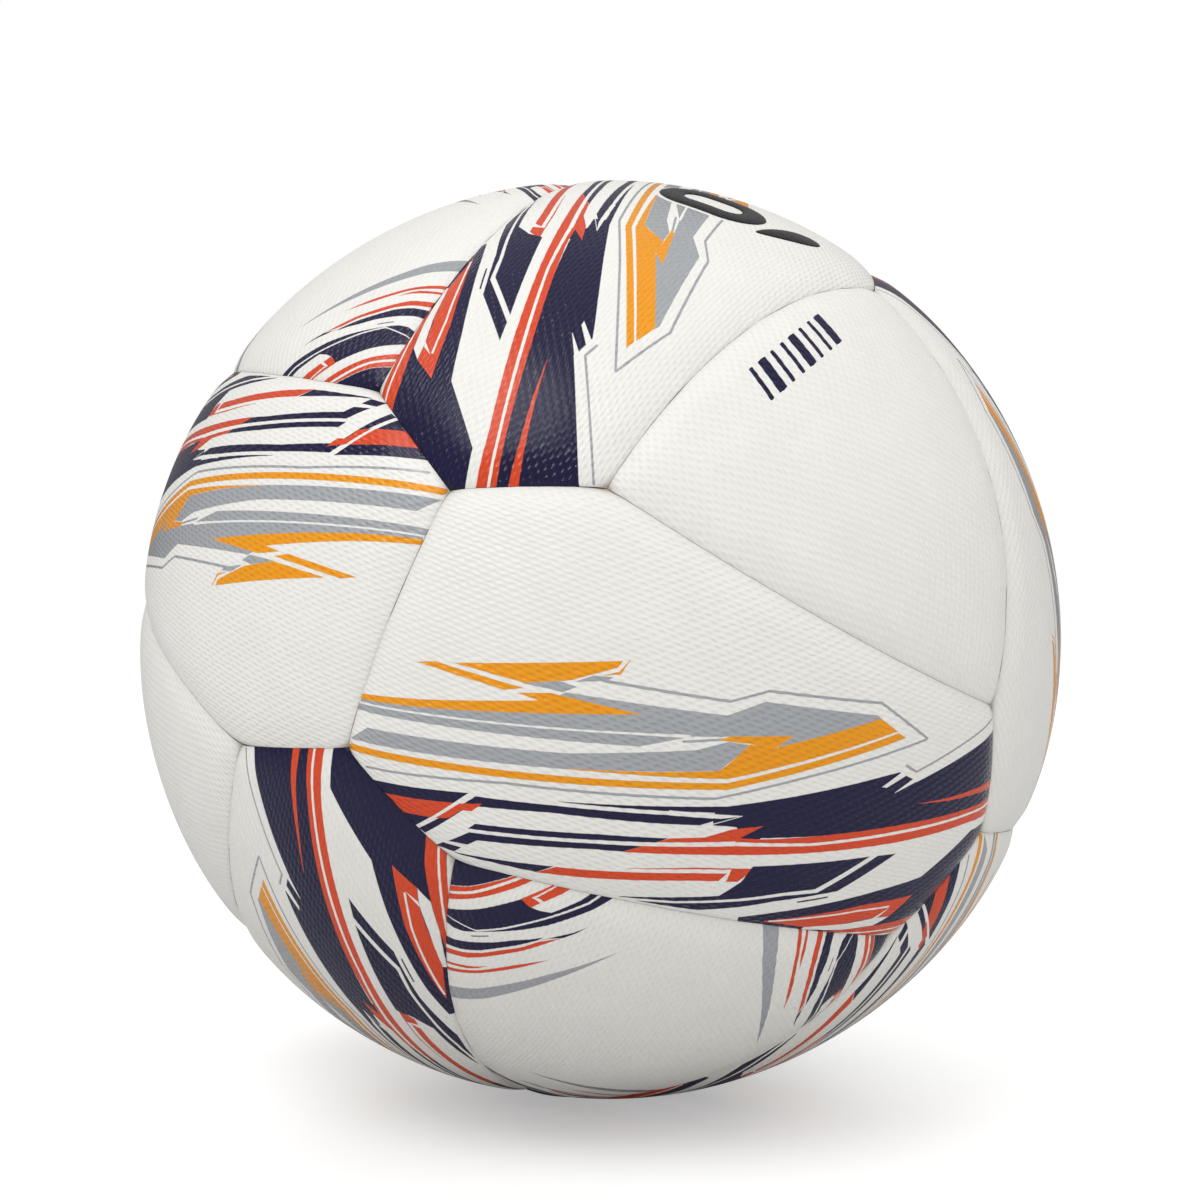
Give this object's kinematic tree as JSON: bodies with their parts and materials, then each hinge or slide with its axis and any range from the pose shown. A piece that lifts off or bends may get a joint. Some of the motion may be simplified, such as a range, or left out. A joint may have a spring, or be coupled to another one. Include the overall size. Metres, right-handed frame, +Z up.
{
  "type": "soccer ball",
  "caption": "Round inflated soccer ball with a cover of heptagonal and triangular panels, foam pads, taped seams, carcass, bladder and needle valve.",
  "frame": {"origin": "centre of the ball", "axes": "+Z up as the ball lies, -Y towards the viewer, +X to the viewer's right"},
  "size_m": [0.2192, 0.2184, 0.2194],
  "materials": {
    "plain_skin": "off-white polyurethane skin with a fine woven emboss, semi-gloss",
    "heptagon_print": "off-white polyurethane skin with glossy gold, grey, red-orange and navy bands and a fine woven emboss",
    "triangle_print": "off-white polyurethane skin with navy, red-orange and light grey arcs at its corners and a fine woven emboss",
    "foam": "cream closed-cell foam, matt",
    "seam_tape": "dark heat-bonded tape, satin",
    "carcass_fabric": "undyed woven polyester-cotton layers bonded with latex, matt",
    "bladder_rubber": "black butyl rubber, satin",
    "valve_rubber": "black moulded rubber, satin",
    "valve_core": "pale silicone, smooth"
  },
  "bodies": {
    "root": {"heptagon_01_skin": "heptagon_print", "heptagon_02_skin": "heptagon_print", "heptagon_03_skin": "heptagon_print", "heptagon_04_skin": "heptagon_print", "heptagon_05_skin": "heptagon_print", "heptagon_06_skin": "heptagon_print", "heptagon_07_skin": "heptagon_print", "heptagon_08_skin": "heptagon_print", "heptagon_09_skin": "heptagon_print", "heptagon_10_skin": "heptagon_print", "heptagon_11_skin": "heptagon_print", "heptagon_12_skin": "heptagon_print", "plain_triangle_01_skin": "plain_skin", "plain_triangle_02_skin": "plain_skin", "plain_triangle_03_skin": "plain_skin", "plain_triangle_04_skin": "plain_skin", "printed_triangle_01_skin": "triangle_print", "printed_triangle_02_skin": "triangle_print", "printed_triangle_03_skin": "triangle_print", "printed_triangle_04_skin": "triangle_print", "heptagon_01_foam": "foam", "heptagon_02_foam": "foam", "heptagon_03_foam": "foam", "heptagon_04_foam": "foam", "heptagon_05_foam": "foam", "heptagon_06_foam": "foam", "heptagon_07_foam": "foam", "heptagon_08_foam": "foam", "heptagon_09_foam": "foam", "heptagon_10_foam": "foam", "heptagon_11_foam": "foam", "heptagon_12_foam": "foam", "plain_triangle_01_foam": "foam", "plain_triangle_02_foam": "foam", "plain_triangle_03_foam": "foam", "plain_triangle_04_foam": "foam", "printed_triangle_01_foam": "foam", "printed_triangle_02_foam": "foam", "printed_triangle_03_foam": "foam", "printed_triangle_04_foam": "foam", "seam_tape_net": "seam_tape", "valve_patch": "seam_tape", "carcass": "carcass_fabric", "bladder": "bladder_rubber", "balance_patch": "bladder_rubber", "valve_housing": "valve_rubber", "valve_core": "valve_core"}
  },
  "joints": []
}
